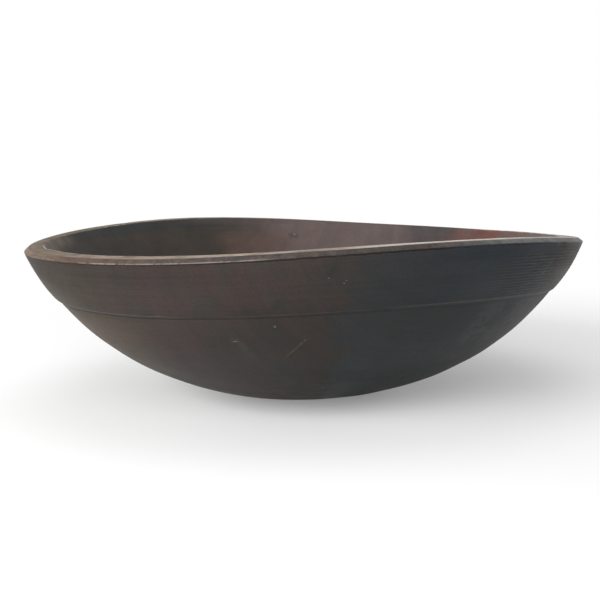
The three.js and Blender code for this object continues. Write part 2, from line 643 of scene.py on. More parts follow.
# Marks seen on the surface: ends as angle and outline distance, and width
scratches = {
    "bright": [
        ((-38.0, 0.2267), (-39.2, 0.2196), 0.0008),
        ((-38.9, 0.2194), (-40.0, 0.2197), 0.0008),
        ((-40.0, 0.1955), (-38.8, 0.1850), 0.0011),
        ((-104.1, 0.1812), (-105.7, 0.1808), 0.0007),
    ],
    "pale": [
        ((-118.7, 0.2016), (-119.6, 0.2018), 0.0006),
        ((-120.6, 0.2019), (-121.8, 0.2021), 0.0007),
        ((-64.0, 0.1593), (-64.8, 0.1591), 0.0006),
        ((-56.5, 0.1597), (-57.3, 0.1594), 0.0006),
        ((-52.0, 0.1915), (-51.7, 0.1850), 0.0007),
        ((-51.7, 0.1850), (-51.9, 0.1795), 0.0007),
    ],
    "ochre": [
        ((-90.4, 0.1812), (-90.8, 0.1798), 0.0011),
        ((-91.2, 0.1782), (-91.7, 0.1762), 0.0015),
        ((-92.0, 0.1750), (-92.6, 0.1726), 0.0013),
        ((-92.9, 0.1714), (-93.7, 0.1690), 0.0013),
        ((-94.0, 0.1676), (-94.6, 0.1652), 0.0009),
    ],
    "crescent": [
        ((-105.2, 0.1824), (-104.3, 0.1814), 0.0028),
        ((-104.3, 0.1814), (-103.6, 0.1780), 0.0042),
        ((-103.6, 0.1780), (-103.0, 0.1724), 0.0056),
        ((-103.0, 0.1724), (-102.9, 0.1650), 0.0060),
    ],
    "scuffed": [
        ((-93.9, 0.1680), (-95.2, 0.1620), 0.0012),
        ((-51.2, 0.1905), (-52.6, 0.1885), 0.0040),
        ((-51.9, 0.1800), (-52.9, 0.1740), 0.0030),
        ((-53.2, 0.1735), (-56.4, 0.1720), 0.0014),
        ((-38.2, 0.1790), (-39.6, 0.1760), 0.0040),
        ((-38.9, 0.1700), (-40.5, 0.1640), 0.0036),
        ((-42.6, 0.1690), (-44.0, 0.1650), 0.0036),
    ],
    "darkened": [
        ((-106.6, 0.1826), (-109.0, 0.1806), 0.0044),
        ((-109.0, 0.1806), (-110.2, 0.1765), 0.0046),
        ((-95.4, 0.1950), (-95.6, 0.1975), 0.0040),
        ((-86.6, 0.2300), (-85.2, 0.2370), 0.0060),
        ((-96.0, 0.2060), (-95.0, 0.2110), 0.0060),
        ((-97.0, 0.2050), (-103.0, 0.2060), 0.0070),
        ((-86.4, 0.1985), (-85.6, 0.2040), 0.0044),
        ((90.4, 0.2718), (92.2, 0.2714), 0.0044),
    ],
}
spots = [
    (-96.2, 0.1929, 0.0010),
    (-85.2, 0.1173, 0.0012),
    (-86.5, 0.2267, 0.0006),
    (-84.0, 0.2227, 0.0006),
    (-83.6, 0.2244, 0.0004),
    (91.2, 0.2703, 0.0011),
    (-174.2, 0.2549, 0.0012),
    (176.0, 0.2516, 0.0010),
]
darkSpots = [
    (-37.6, 0.2400, 0.0012),
    (-35.9, 0.2391, 0.0010),
    (-33.4, 0.2404, 0.0009),
    (-38.6, 0.2372, 0.0008),
    (-34.6, 0.2362, 0.0009),
]
strayScratches = {"count": 16, "seed": 11}

# Outline distances between which the tones of the inner wall give way to the plain floor
wallFade = {"from": 0.2980, "to": 0.3700}

# How much of each mark's tone shows
markShares = {
    "smudge": 0.45,
    "crescent": 0.2,
    "scuff": 0.3,
    "ochre": 0.45,
    "dark": 0.7,
    "pale": 0.28,
    "hair": 0.16,
}

# Roughness of the satin stain on the log's sides and on its ends, and what is added to it where
roughness = {
    "sides": 0.53,
    "ends": 0.47,
    "noise": 0.16,
    "dull": 0.12,
    "rim": 0.28,
    "inside": 0.08,
    "hair": 0.12,
    "pale": 0.2,
}

# Relief in millimetres: on the stain, and on the bare rim or the worn right end
relief = {
    "fibres": (0.05, 0.12),
    "pores": (-0.03, -0.08),
    "fineLines": 0.015,
    "broadLines": 0.02,
    "tiny": (0.03, 0.07),
    "small": (0.10, 0.30),
    "hair": -0.02,
    "mark": -0.10,
    "scuff": -0.05,
}


def mapPlace(degrees, distance):
    # a place on the bowl in its own map, which starts at the back
    around = math.radians((degrees - 90) % 360) * turnedShape["rimRadius"]
    return (around, distance, 0.0)


def randomScratches():
    # short straight scratches scattered over the sides and the back, and inside
    random = np.random.default_rng(strayScratches["seed"])
    made = []
    for _ in range(strayScratches["count"]):
        degrees = random.uniform(-15, 200)
        distance = random.choice([random.uniform(0.06, 0.235), random.uniform(0.27, 0.44)])
        turn = random.uniform(-3.5, 3.5)
        step = random.uniform(-0.012, 0.012)
        made.append(((degrees, distance), (degrees + turn, distance + step), random.uniform(0.0004, 0.0008)))
    return made


def scratchMasks(tree, mapped, marks, grain=420.0):
    # joined one by one, which keeps the material small, then pressed unevenly by one noise for them all
    mask = 0.0
    for start, end, width in marks:
        places = {"Map_Place": mapped, "Start": mapPlace(*start), "End": mapPlace(*end)}
        mask = most(tree, mask, useGroup(tree, "scratchMark", Width=width, **places)["Mask"])
    return product(tree, mask, fade(tree, noise(tree, mapped, grain), 0.3, 0.6))


def spotMasks(tree, mapped, places):
    mask = 0.0
    for degrees, distance, size in places:
        away = vectorCalc(tree, "DISTANCE", mapped, mapPlace(degrees, distance))
        mask = most(tree, mask, fade(tree, away, 0.3 * size, size, 1.0, 0.0))
    return mask


def surfaceReadings(tree):
    # everything that the finishes share: places, noise at several sizes, grain, lathe lines, end grain
    place = addNode(tree, "ShaderNodeTexCoord").outputs["Object"]
    mapped = addNode(tree, "ShaderNodeUVMap", {"uv_map": "turned"}).outputs[0]
    around = addNode(tree, "ShaderNodeSeparateXYZ", None, {0: mapped}).outputs[0]

    # angle round the bowl in radians, and outline distance: gradients give both as plain numbers. A material
    # that holds too many values at once renders black, and a vector takes the room of three numbers.
    radial = addNode(tree, "ShaderNodeTexGradient", {"gradient_type": "RADIAL"}, {"Vector": place})
    turn = calc(tree, "MULTIPLY_ADD", radial.outputs["Fac"], 2 * math.pi, -math.pi)
    upright = addNode(
        tree, "ShaderNodeMapping", None, {"Vector": mapped, "Rotation": (0, 0, -math.pi / 2)}
    ).outputs[0]
    distance = addNode(tree, "ShaderNodeTexGradient", None, {"Vector": upright}).outputs["Fac"]
    grainTurn = math.radians(-dryingWarp["grainAngle"])
    grainPlace = addNode(
        tree,
        "ShaderNodeMapping",
        None,
        {"Vector": place, "Rotation": (0, 0, grainTurn), "Location": (0, 0, -woodFigure["pithHeight"])},
    ).outputs[0]
    figure = useGroup(tree, "grainFigure", Place=grainPlace, Ring_Spacing=woodFigure["ringSpacing"])
    big = noise(tree, place, 9.0, 3.0)
    cloud = noise(tree, place, 21.0, 2.0, 0.5)
    middle = noise(tree, place, 55.0, 3.0, 0.55)
    small = noise(tree, place, 170.0, 3.0, 0.6)
    tiny = noise(tree, place, 900.0, 2.0, 0.6)
    shift = {"Vector": place, "Location": (0.7, 0.2, 0.4)}
    shifted = addNode(tree, "ShaderNodeMapping", None, shift).outputs[0]

    # how nearly the surface faces the two darkly stained directions, seen from above; borders wander behind
    fromStain = calc(tree, "SUBTRACT", turn, math.radians(woodFigure["stainAngle"]))
    facing = calc(tree, "ABSOLUTE", calc(tree, "COSINE", fromStain))
    wander = fade(tree, calc(tree, "SINE", turn), -0.95, -0.6, 0.08, 0.28)
    facing = calc(tree, "ADD", facing, product(tree, strayOf(tree, cloud), wander))
    facing = calc(tree, "ADD", facing, product(tree, strayOf(tree, middle), 0.08))
    starts = math.cos(math.radians(woodFigure["stainFar"]))
    holds = math.cos(math.radians(woodFigure["stainNear"]))
    endGrain = fade(tree, facing, starts, holds)
    nearEnds = fade(tree, facing, starts - 0.12, starts + 0.04)

    # lathe lines show most on the front left, where the stain is rubbed, and least on the belly
    toLeft = calc(tree, "COSINE", calc(tree, "SUBTRACT", turn, math.radians(-152)))
    lined = fade(tree, toLeft, 0.75, 0.95, 0.3, 1.0)
    lined = product(tree, lined, fade(tree, distance, 0.1980, 0.2040, 0.5, 1.0))
    return {
        "place": place,
        "mapped": mapped,
        "turn": turn,
        "around": around,
        "distance": distance,
        "rings": figure["Rings"],
        "fibres": figure["Fibres"],
        "pores": figure["Pores"],
        "big": big,
        "cloud": cloud,
        "middle": middle,
        "small": small,
        "tiny": tiny,
        "warmth": noise(tree, place, 75.0, 4.0, 0.65),
        "coolness": noise(tree, shifted, 95.0, 4.0, 0.65),
        "endGrain": endGrain,
        "nearEnds": nearEnds,
        "fineLines": turnedLines(tree, place, distance, 0.0009, lined),
        "broadLines": turnedLines(tree, place, distance, 0.0032, lined),
    }


def turnedLines(tree, place, distance, pitch, share):
    # lathe lines around 0.5, held down to a share of their strength
    lines = useGroup(tree, "turningLines", Place=place, Distance=distance, Pitch=pitch)["Lines"]
    return calc(tree, "ADD", 0.5, product(tree, strayOf(tree, lines), share))


def sector(tree, look, angle, near, far):
    return useGroup(tree, "roundSector", Turn=look["turn"], Angle=angle, Near=near, Far=far)["Mask"]


def band(tree, look, start, end, softness, wander=0.0):
    return useGroup(
        tree,
        "outlineBand",
        Distance=look["distance"],
        From=start,
        To=end,
        Softness=softness,
        Wander=wander,
    )["Mask"]


def patch(tree, look, around, along, *shares):
    # a sector (angle, near, far) where it crosses a band (start, end, softness)
    return product(tree, sector(tree, look, *around), band(tree, look, *along), *shares)


def shade(tree, tone, value, low, high, darkest, lightest):
    # multiplies a tone by a grey that runs from darkest to lightest as the value goes from low to high
    scale = greyOf(tree, fade(tree, value, low, high, darkest, lightest))
    return mixTone(tree, 1.0, tone, scale, "MULTIPLY")


def mottle(tree, look, tone, reach):
    # multiplies red and blue apart, by up to the reach, in warm and cool specks of many sizes
    red = fade(tree, look["warmth"], 0.3, 0.7, 1 - reach, 1 + reach)
    blue = fade(tree, look["coolness"], 0.3, 0.7, 1 - 0.8 * reach, 1 + 0.8 * reach)
    scale = addNode(tree, "ShaderNodeCombineColor", None, {0: red, 1: 1.0, 2: blue}).outputs[0]
    return mixTone(tree, 1.0, tone, scale, "MULTIPLY")


def outsideTone(tree, look):
    # stain in mauve and moss blotches on the log's sides, slate and teal ones on its ends, olive at the left
    cloudy = total(tree, look["cloud"], product(tree, look["middle"], 0.35))
    blotchy = total(tree, look["middle"], product(tree, look["small"], 0.6))
    blotchy = total(tree, blotchy, product(tree, look["cloud"], 0.5))
    moss = most(
        tree,
        fade(tree, blotchy, 1.00, 1.22, 0.0, 0.85),
        product(tree, look["nearEnds"], fade(tree, look["small"], 0.3, 0.6, 0.35, 1.0)),
        patch(tree, look, (-96, 8, 20), (0.1300, 0.1960, 0.010), 0.7),
    )
    stained = mixTone(tree, moss, tones["mauve"], tones["moss"])
    stained = mixTone(tree, product(tree, sector(tree, look, -172, 8, 58), 0.85), stained, tones["olive"])
    slate = mixTone(tree, fade(tree, cloudy, 0.58, 0.82), tones["slate"], tones["teal"])
    blued = most(
        tree,
        patch(tree, look, (-49, 8, 20), (0.2030, 0.2320, 0.004)),
        patch(tree, look, (-62, 3, 10), (0.1500, 0.1850, 0.010)),
    )
    slate = mixTone(tree, product(tree, blued, fade(tree, cloudy, 0.5, 0.8, 0.4, 1.0)), slate, tones["steel"])
    # painted shade: dark blue-black under the rim on the front right
    navyShade = patch(tree, look, (-53, 8, 20), (0.2290, 0.2450, 0.004), 0.8)
    slate = mixTone(tree, navyShade, slate, tones["navyShade"])
    stained = mixTone(tree, look["endGrain"], stained, slate)

    # rubbed lighter on the belly, most on the left; painted light at the foot of the collar at both ends
    rubbed = mixTone(tree, look["endGrain"], tones["rubbedBrown"], tones["rubbedSlate"])
    onBelly = band(tree, look, 0.1450, 0.2000, 0.002, product(tree, strayOf(tree, look["big"]), 0.01))
    patches = fade(tree, total(tree, look["big"], product(tree, look["small"], 0.3)), 0.5, 0.95)
    worn = patch(tree, look, (-172, 20, 54), (0.1250, 0.1930, 0.014), 0.9)
    scraped = patch(tree, look, (-43, 6, 13), (0.1600, 0.1985, 0.003))
    scrapes = fade(tree, total(tree, look["small"], look["middle"]), 0.88, 1.14, 0.0, 0.55)
    scraped = product(tree, scraped, scrapes)
    # painted light: the foot of the collar lighter at both ends of the front, below the painted shade at its
    # top
    lightAtShoulder = patch(tree, look, (-158, 8, 22), (0.2030, 0.2120, 0.004), 0.35)
    lightUnderRidges = patch(tree, look, (-42, 10, 24), (0.2030, 0.2180, 0.006), 0.22)
    share = total(
        tree,
        worn,
        scraped,
        lightAtShoulder,
        lightUnderRidges,
        product(tree, patches, onBelly, 0.15),
        product(tree, strayOf(tree, look["tiny"]), 0.12),
    )
    tone = mixTone(tree, share, stained, rubbed)

    # painted shade: darker up to the rim towards both ends of the front
    leftShadeShare = total(
        tree,
        product(tree, sector(tree, look, -142, 28, 44), 0.34),
        product(tree, sector(tree, look, -162, 14, 26), 0.22),
    )
    leftTopShade = product(tree, leftShadeShare, fade(tree, look["distance"], 0.2110, 0.2380))
    tone = mixTone(tree, leftTopShade, tone, tones["underRimShade"])
    rightTopShade = sector(tree, look, -24, 12, 23)
    rightTopShade = product(tree, rightTopShade, fade(tree, look["distance"], 0.2170, 0.2360, 0.0, 0.5))
    tone = mixTone(tree, rightTopShade, tone, tones["shadeAndDirt"])
    lowRub = patch(tree, look, (-115, 16, 32), (0.1180, 0.1660, 0.018), 0.22)
    tone = mixTone(tree, lowRub, tone, tones["rubbedSlate"])

    # painted shade: darker towards the foot, least on the left, and plain again under the foot
    darkest = fade(tree, sector(tree, look, -172, 16, 88), 0.0, 1.0, 0.22, 1.0)
    darkest = total(tree, darkest, product(tree, sector(tree, look, -98, 8, 26), 0.12))
    darkest = most(tree, darkest, fade(tree, look["distance"], 0.0380, 0.0480, 0.7, 0.0))
    tone = shade(tree, tone, look["distance"], 0.0650, 0.1750, darkest, 1.0)

    tone = mottle(tree, look, tone, 0.05)
    return shade(tree, tone, look["big"], 0.3, 0.7, 0.95, 1.05)


def rimFlatTone(tree, look):
    # wood rubbed bare by hands, with grime lying in its grain; greyer and paler on the front right, partly as
    # painted reflection
    paler = sector(tree, look, -51, 14, 37)
    handled = product(tree, sector(tree, look, -46, 2, 8), fade(tree, look["small"], 0.35, 0.6, 0.3, 0.8))
    paler = product(tree, paler, calc(tree, "SUBTRACT", 1.0, handled))
    paler = most(tree, paler, product(tree, sector(tree, look, -98, 6, 14), 0.22))
    duller = sector(tree, look, -178, 26, 50)
    bare = mixTone(tree, paler, tones["bareTan"], tones["bareGrey"])
    bare = mixTone(tree, product(tree, duller, 0.85), bare, tones["bareOlive"])
    grime = total(tree, look["middle"], product(tree, look["fibres"], 0.45))
    grime = total(tree, grime, product(tree, look["small"], 0.3), product(tree, duller, 0.06))
    dirty = fade(tree, grime, 0.86, 1.12, 0.0, 0.75)
    dirty = product(tree, dirty, fade(tree, paler, 0.0, 1.0, 1.0, 0.3))
    bare = mixTone(tree, dirty, bare, tones["rimDirt"])
    # paler still near the right end: painted reflection
    bare = mixTone(tree, product(tree, sector(tree, look, -32, 4, 13), 0.4), bare, tones["barePale"])
    outer = band(tree, look, outlineEnds["bevel"], outlineEnds["bevel"] + 0.0012, 0.0006)
    outer = product(tree, outer, duller, fade(tree, look["small"], 0.35, 0.6, 0.2, 0.6))
    bare = mixTone(tree, outer, bare, tones["rimDirt"])
    return mixTone(tree, product(tree, look["pores"], 0.45), bare, tones["rimDirt"])


def bevelTone(tree, look):
    # chamfer: rubbed to pinkish brown on the left, still stained in front, grey on the right
    pink = sector(tree, look, -165, 35, 62)
    pale = sector(tree, look, -164, 12, 30)
    grey = sector(tree, look, -34, 16, 36)
    tone = mixTone(tree, pink, tones["bevelBrown"], tones["bevelPink"])
    tone = mixTone(tree, pale, tone, tones["bevelPale"])
    patches = total(tree, look["middle"], product(tree, look["small"], 0.5))
    tone = mixTone(tree, fade(tree, patches, 0.7, 1.0, 0.0, 0.6), tone, tones["bevelPink"])
    tone = mixTone(tree, grey, tone, tones["bevelGrey"])
    return shade(tree, tone, look["small"], 0.3, 0.7, 0.85, 1.15)


def insideTone(tree, look):
    # dark where the wall shows end grain, bluish along its top, rosy brown between, red at the right
    dark = sector(tree, look, 149, 36, 56)
    top = patch(tree, look, (138, 14, 34), (0.2500, 0.2640, 0.004), 0.85)
    darkened = mixTone(tree, top, tones["insideDark"], tones["insideBlue"])
    clouded = fade(tree, look["cloud"], 0.42, 0.62, 0.0, 0.5)
    rose = mixTone(tree, clouded, tones["insideRose"], tones["insideGrey"])
    tone = mixTone(tree, dark, rose, darkened)
    pale = patch(tree, look, (180, 4, 16), (0.2500, 0.2640, 0.004))
    specks = total(tree, look["small"], product(tree, look["tiny"], 0.5))
    pale = product(tree, pale, fade(tree, specks, 0.6, 0.95, 0.4, 0.95))
    tone = mixTone(tree, pale, tone, tones["insidePale"])
    rust = sector(tree, look, 104, 4, 13)
    rust = product(tree, rust, fade(tree, look["distance"], 0.2660, 0.2800, 0.0, 0.6))
    tone = mixTone(tree, rust, tone, tones["insideRust"])
    greyTop = patch(tree, look, (108, 8, 20), (0.2500, 0.2610, 0.004), 0.6)
    tone = mixTone(tree, most(tree, sector(tree, look, 50, 2, 12), greyTop), tone, tones["insideGrey"])
    red = most(tree, sector(tree, look, 31, 2, 10), product(tree, sector(tree, look, 29, 6, 18), 0.65))
    streaks = fade(tree, total(tree, look["small"], look["warmth"]), 0.8, 1.15, 0.6, 1.0)
    downTo = total(tree, look["distance"], product(tree, strayOf(tree, look["middle"]), 0.05))
    red = product(tree, red, streaks, fade(tree, downTo, 0.2800, 0.3150, 1.0, 0.0))
    tone = mixTone(tree, red, tone, tones["insideRed"])

    # further down, plain brown with dark patches
    patched = fade(tree, look["big"], 0.42, 0.62, 0.0, 0.6)
    plain = mixTone(tree, patched, tones["insideFloor"], tones["insideDark"])
    downTo = total(tree, downTo, product(tree, strayOf(tree, look["big"]), 0.12))
    tone = mixTone(tree, fade(tree, downTo, wallFade["from"], wallFade["to"]), tone, plain)
    tone = mottle(tree, look, tone, 0.05)
    tone = shade(tree, tone, look["cloud"], 0.3, 0.7, 0.9, 1.1)
    return shade(tree, tone, look["middle"], 0.3, 0.7, 0.94, 1.06)


def fineDetail(tree, look, tone, onRim):
    # lathe lines, fibres and rings over every tone at once. They come after all other tones, because the
    # renderer works them out late, and would hold every mask that waits for them.
    grey = 1.0
    strengths = {
        "fineLines": 0.06,
        "broadLines": 0.06,
        "fibres": total(tree, 0.05, product(tree, onRim, 0.09)),
        "rings": fade(tree, look["distance"], wallFade["from"], wallFade["to"], 0.03, 0.10),
    }
    for name, strength in strengths.items():
        stray = fade(tree, look[name], 0.35, 0.65, -1.0, 1.0)
        grey = product(tree, grey, calc(tree, "MULTIPLY_ADD", stray, strength, 1.0))
    return mixTone(tree, 1.0, tone, greyOf(tree, grey), "MULTIPLY")


def tipMask(tree, look):
    # right end: from the shoulder up to the rim, and less down the belly
    tip = patch(tree, look, (-24, 6, 15), (outlineEnds["shoulder"], 1.0, 0.002))
    down = patch(tree, look, (-20, 8, 20), (0.1100, outlineEnds["belly"], 0.004), 0.6)
    return most(tree, tip, down)


def tipSpecks(tree, look, tone, tip):
    # tan rubbed off in specks, with dark ones between
    specks = total(tree, look["small"], product(tree, look["tiny"], 0.6))
    tone = mixTone(tree, product(tree, tip, fade(tree, specks, 0.7, 0.95, 0.2, 0.8)), tone, tones["tip"])
    return mixTone(tree, product(tree, tip, fade(tree, specks, 0.80, 0.62, 0.0, 0.75)), tone, tones["shadeAndDirt"])


def shoulderCornerShade(tree, look, tone, sides):
    # painted shade: a dark hairline in the corner under the shoulder
    corner = band(tree, look, outlineEnds["belly"] - 0.0004, outlineEnds["belly"] + 0.0006, 0.0004)
    share = total(tree, 0.2, product(tree, most(tree, sides["left"], sides["torn"]), 0.7))
    share = total(tree, share, product(tree, sides["right"], -0.2))
    return mixTone(tree, product(tree, corner, share), tone, tones["shadeAndDirt"])


def underRimShadeLine(tree, look, tone, ragged):
    # painted shade: a dark line under the rim, broken where the edge is rubbed
    edge = outlineEnds["collar"]
    under = band(tree, look, edge - 0.0012, edge - 0.0001, 0.0003, ragged)
    stronger = product(tree, sector(tree, look, -140, 32, 55), 0.4)
    stronger = most(tree, stronger, sector(tree, look, -82, 8, 18))
    under = product(tree, under, total(tree, fade(tree, look["small"], 0.35, 0.55, 0.2, 0.6), stronger))
    return mixTone(tree, calc(tree, "MINIMUM", under, 0.95), tone, tones["underRimShade"])


def singleMarks(tree, look, tone):
    # scratches, scuffs, smudges and spots that the front shows, and stray scratches elsewhere
    bright = most(
        tree,
        scratchMasks(tree, look["mapped"], scratches["bright"]),
        spotMasks(tree, look["mapped"], spots),
    )
    pale = most(
        tree,
        product(tree, bright, 2.0),
        scratchMasks(tree, look["mapped"], scratches["pale"]),
        scratchMasks(tree, look["mapped"], randomScratches()),
    )
    ochre = scratchMasks(tree, look["mapped"], scratches["ochre"])
    crescent = scratchMasks(tree, look["mapped"], scratches["crescent"], 90.0)
    scuffed = scratchMasks(tree, look["mapped"], scratches["scuffed"], 300.0)
    darkened = scratchMasks(tree, look["mapped"], scratches["darkened"], 140.0)
    scuffTone = mixTone(tree, look["endGrain"], tones["rubbedBrown"], tones["rubbedSlate"])
    tone = mixTone(tree, product(tree, darkened, markShares["smudge"]), tone, tones["smudge"])
    tone = mixTone(tree, product(tree, crescent, markShares["crescent"]), tone, tones["rubbedPink"])
    tone = mixTone(tree, product(tree, scuffed, markShares["scuff"]), tone, scuffTone)
    ochre = product(tree, ochre, fade(tree, look["tiny"], 0.35, 0.6, 0.3, 1.0))
    tone = mixTone(tree, product(tree, ochre, markShares["ochre"]), tone, tones["ochre"])
    dark = spotMasks(tree, look["mapped"], darkSpots)
    tone = mixTone(tree, product(tree, dark, markShares["dark"]), tone, tones["shadeAndDirt"])
    return tone, {"pale": pale, "ochre": ochre, "scuffed": scuffed}


def toolCuts(tree, look, tone, ragged, sides):
    # crests rubbed to hairlines that break off along the turning, and dirt in the hollows
    ends = outlineEnds
    halfTurn = calc(tree, "DIVIDE", look["around"], 2 * turnedShape["rimRadius"])
    phase = calc(tree, "MULTIPLY", look["distance"], math.pi / toolMarks["pitch"])
    phase = calc(tree, "SUBTRACT", phase, halfTurn)
    hollow =calc(tree, "ABSOLUTE", calc(tree, "SINE", calc(tree, "SUBTRACT", phase, math.pi / 4)))
    starts = ends["shoulder"] + 0.003
    stops = ends["collar"] - toolMarks["plainTop"]
    onCollar = band(tree, look, starts, stops, 0.004, product(tree, ragged, 5))
    torn = most(
        tree,
        sector(tree, look, toolMarks["roughAngle"], 12, 27),
        sector(tree, look, toolMarks["roughAngle"] + 180, 12, 27),
    )
    alongTurning = addNode(
        tree,
        "ShaderNodeCombineXYZ",
        None,
        {
            0: calc(tree, "MULTIPLY", look["around"], 70.0),
            1: calc(tree, "DIVIDE", look["distance"], 0.6 * toolMarks["pitch"]),
        },
    ).outputs[0]
    broken = noise(tree, alongTurning, 1.0, 2.0, 0.6)
    flattened = product(tree, sector(tree, look, -24, 6, 14), fade(tree, look["small"], 0.4, 0.6, 0.2, 0.8))
    ridged = product(tree, onCollar, torn, calc(tree, "SUBTRACT", 1.0, flattened))
    crest = product(tree, ridged, fade(tree, hollow, 0.5, 0.05), fade(tree, broken, 0.4, 0.62, 0.1, 1.0))
    tone = mixTone(tree, product(tree, crest, 0.75), tone, tones["crest"])
    dirt = product(tree, ridged, fade(tree, hollow, 0.45, 0.9), fade(tree, broken, 0.35, 0.6, 0.9, 0.3))
    tone = mixTone(tree, dirt, tone, tones["shadeAndDirt"])

    # painted highlight: a light hairline on the shoulder's edge, at both sides and faintly in front
    inFront = sector(tree, look, -92, 8, 16)
    lit = band(tree, look, ends["shoulder"] - 0.0011, ends["shoulder"] + 0.0001, 0.0003)
    share = total(tree, 0.04, product(tree, sides["left"], 0.65), product(tree, sides["right"], 0.75))
    share = total(tree, share, product(tree, inFront, 0.3))
    lit = product(tree, lit, share, fade(tree, broken, 0.3, 0.5, 0.5, 1.0))
    return mixTone(tree, lit, tone, tones["crest"])


def rimEdges(tree, look, tone):
    # edges of the rim rubbed to pale wood, partly painted highlight: outer edge in front, and the inner lip,
    # least at the back
    ends = outlineEnds
    edge = band(tree, look, ends["collar"] - 0.0002, ends["collar"] + 0.0007, 0.0003)
    edge = product(tree, edge, sector(tree, look, -113, 14, 20))
    edge = product(tree, edge, fade(tree, look["small"], 0.3, 0.5, 0.0, 0.35))
    lip = band(tree, look, ends["rimFlat"] - 0.0011, ends["rimFlat"] + 0.0005, 0.0004)
    farLeft = product(tree, sector(tree, look, 174, 12, 26), 0.75)
    behind = sector(tree, look, 90, 45, 60)
    tone = mixTone(tree, product(tree, lip, behind, 0.7), tone, tones["bevelBrown"])
    lip = product(tree, lip, calc(tree, "SUBTRACT", 1.0, most(tree, farLeft, behind)))
    worn = most(tree, fade(tree, look["small"], 0.42, 0.62, 0.1, 0.8), sector(tree, look, -132, 30, 44))
    ridge = band(tree, look, ends["bevel"] - 0.0005, ends["bevel"] + 0.0010, 0.0004)
    ridge = product(tree, ridge, sector(tree, look, -52, 22, 38), 0.9)
    bare = most(tree, edge, ridge, product(tree, lip, worn))
    return mixTone(tree, product(tree, bare, 0.7), tone, tones["bareGrey"])


def roughnessOf(tree, look, onRim, onInside, hairs, pale):
    # satin where the stain holds, duller where it is rubbed, under the rim's ends and low on the right
    rimEnds = product(tree, sector(tree, look, -168, 10, 28), 0.8)
    rimEnds = most(tree, sector(tree, look, -22, 10, 24), rimEnds)
    rimEnds = product(tree, rimEnds, band(tree, look, 0.2230, outlineEnds["collar"], 0.006))
    lowRight = product(tree, sector(tree, look, -46, 18, 34), fade(tree, look["distance"], 0.1650, 0.1200))
    dull = most(tree, rimEnds, product(tree, lowRight, 0.8))
    return total(
        tree,
        fade(tree, look["endGrain"], 0.0, 1.0, roughness["sides"], roughness["ends"]),
        product(tree, strayOf(tree, look["small"]), roughness["noise"]),
        product(tree, dull, roughness["dull"]),
        product(tree, onRim, roughness["rim"]),
        product(tree, onInside, roughness["inside"]),
        product(tree, hairs, roughness["hair"]),
        product(tree, pale, roughness["pale"]),
    )


def reliefOf(tree, look, onRim, tip, hairs, marks):
    # height in millimetres
    return total(
        tree,
        product(tree, look["fibres"], fade(tree, onRim, 0.0, 1.0, *relief["fibres"])),
        product(tree, look["pores"], fade(tree, onRim, 0.0, 1.0, *relief["pores"])),
        product(tree, look["fineLines"], relief["fineLines"]),
        product(tree, look["broadLines"], relief["broadLines"]),
        product(tree, look["tiny"], fade(tree, tip, 0.0, 1.0, *relief["tiny"])),
        product(tree, look["small"], fade(tree, tip, 0.0, 1.0, *relief["small"])),
        product(tree, hairs, relief["hair"]),
        product(tree, most(tree, marks["pale"], marks["ochre"]), relief["mark"]),
        product(tree, marks["scuffed"], relief["scuff"]),
    )


def bowlMaterial():
    material = bpy.data.materials.new("agedDarkWood")
    material.use_nodes = True
    tree = material.node_tree
    shader = tree.nodes["Principled BSDF"]
    look = surfaceReadings(tree)
    ends = outlineEnds
    ragged = product(tree, strayOf(tree, look["small"]), 0.0012)
    onBevel = band(tree, look, ends["collar"], ends["bevel"] + 0.0002, 0.00035, ragged)
    onFlat = band(tree, look, ends["bevel"], ends["rimFlat"] + 0.0002, 0.0003)
    onInside = band(tree, look, ends["rimFlat"] + 0.0003, 1.0, 0.0005, ragged)
    onRim = most(tree, onBevel, onFlat)

    # tones that need no grain and no lathe lines, in the order in which they lie over each other
    tone = outsideTone(tree, look)
    tip = tipMask(tree, look)
    tone = tipSpecks(tree, look, tone, tip)
    sides = {
        "left": sector(tree, look, -152, 24, 46),
        "right": sector(tree, look, -44, 18, 34),
        "torn": sector(tree, look, -26, 7, 16),
    }
    tone = shoulderCornerShade(tree, look, tone, sides)
    tone = underRimShadeLine(tree, look, tone, ragged)
    tone = mixTone(tree, onInside, tone, insideTone(tree, look))
    tone = mixTone(tree, onBevel, tone, bevelTone(tree, look))
    tone, marks = singleMarks(tree, look, tone)

    # tones that need noise worked out late: broken crests, grain in the bare rim, hairline rubs
    tone = toolCuts(tree, look, tone, ragged, sides)
    tone = mixTone(tree, onFlat, tone, rimFlatTone(tree, look))
    tone = rimEdges(tree, look, tone)
    tone = mixTone(tree, product(tree, marks["pale"], markShares["pale"]), tone, tones["fleck"])
    hairs = most(
        tree,
        useGroup(tree, "fineScuffs", Place=look["place"], Angle=25.0, Amount=0.70)["Mask"],
        useGroup(tree, "fineScuffs", Place=look["place"], Angle=115.0, Amount=0.71)["Mask"],
    )
    tone = mixTone(tree, product(tree, hairs, markShares["hair"]), tone, tones["rubbedSlate"])
    tree.links.new(fineDetail(tree, look, tone, onRim), shader.inputs["Base Color"])

    rough = roughnessOf(tree, look, onRim, onInside, hairs, marks["pale"])
    tree.links.new(rough, shader.inputs["Roughness"])
    height = reliefOf(tree, look, onRim, tip, hairs, marks)
    bump = addNode(tree, "ShaderNodeBump", None, {"Strength": 1.0, "Distance": 0.001, "Height": height})
    tree.links.new(bump.outputs[0], shader.inputs["Normal"])
    shader.inputs["Specular IOR Level"].default_value = 0.08
    return material


bowl.data.materials.append(bowlMaterial())
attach(bowl, "root")
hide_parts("bowl")
print("bowl finish")


# Room

# Camera, in metres, degrees and shares of the picture's width
viewpoint = {
    "target": (0, 0, 0.055),
    "distance": 0.7106,
    "elevation": 7.76,
    "roll": -1.505,
    "lens": 58.1,
    "shiftX": -0.0052,
    "shiftY": 0.0202,
}

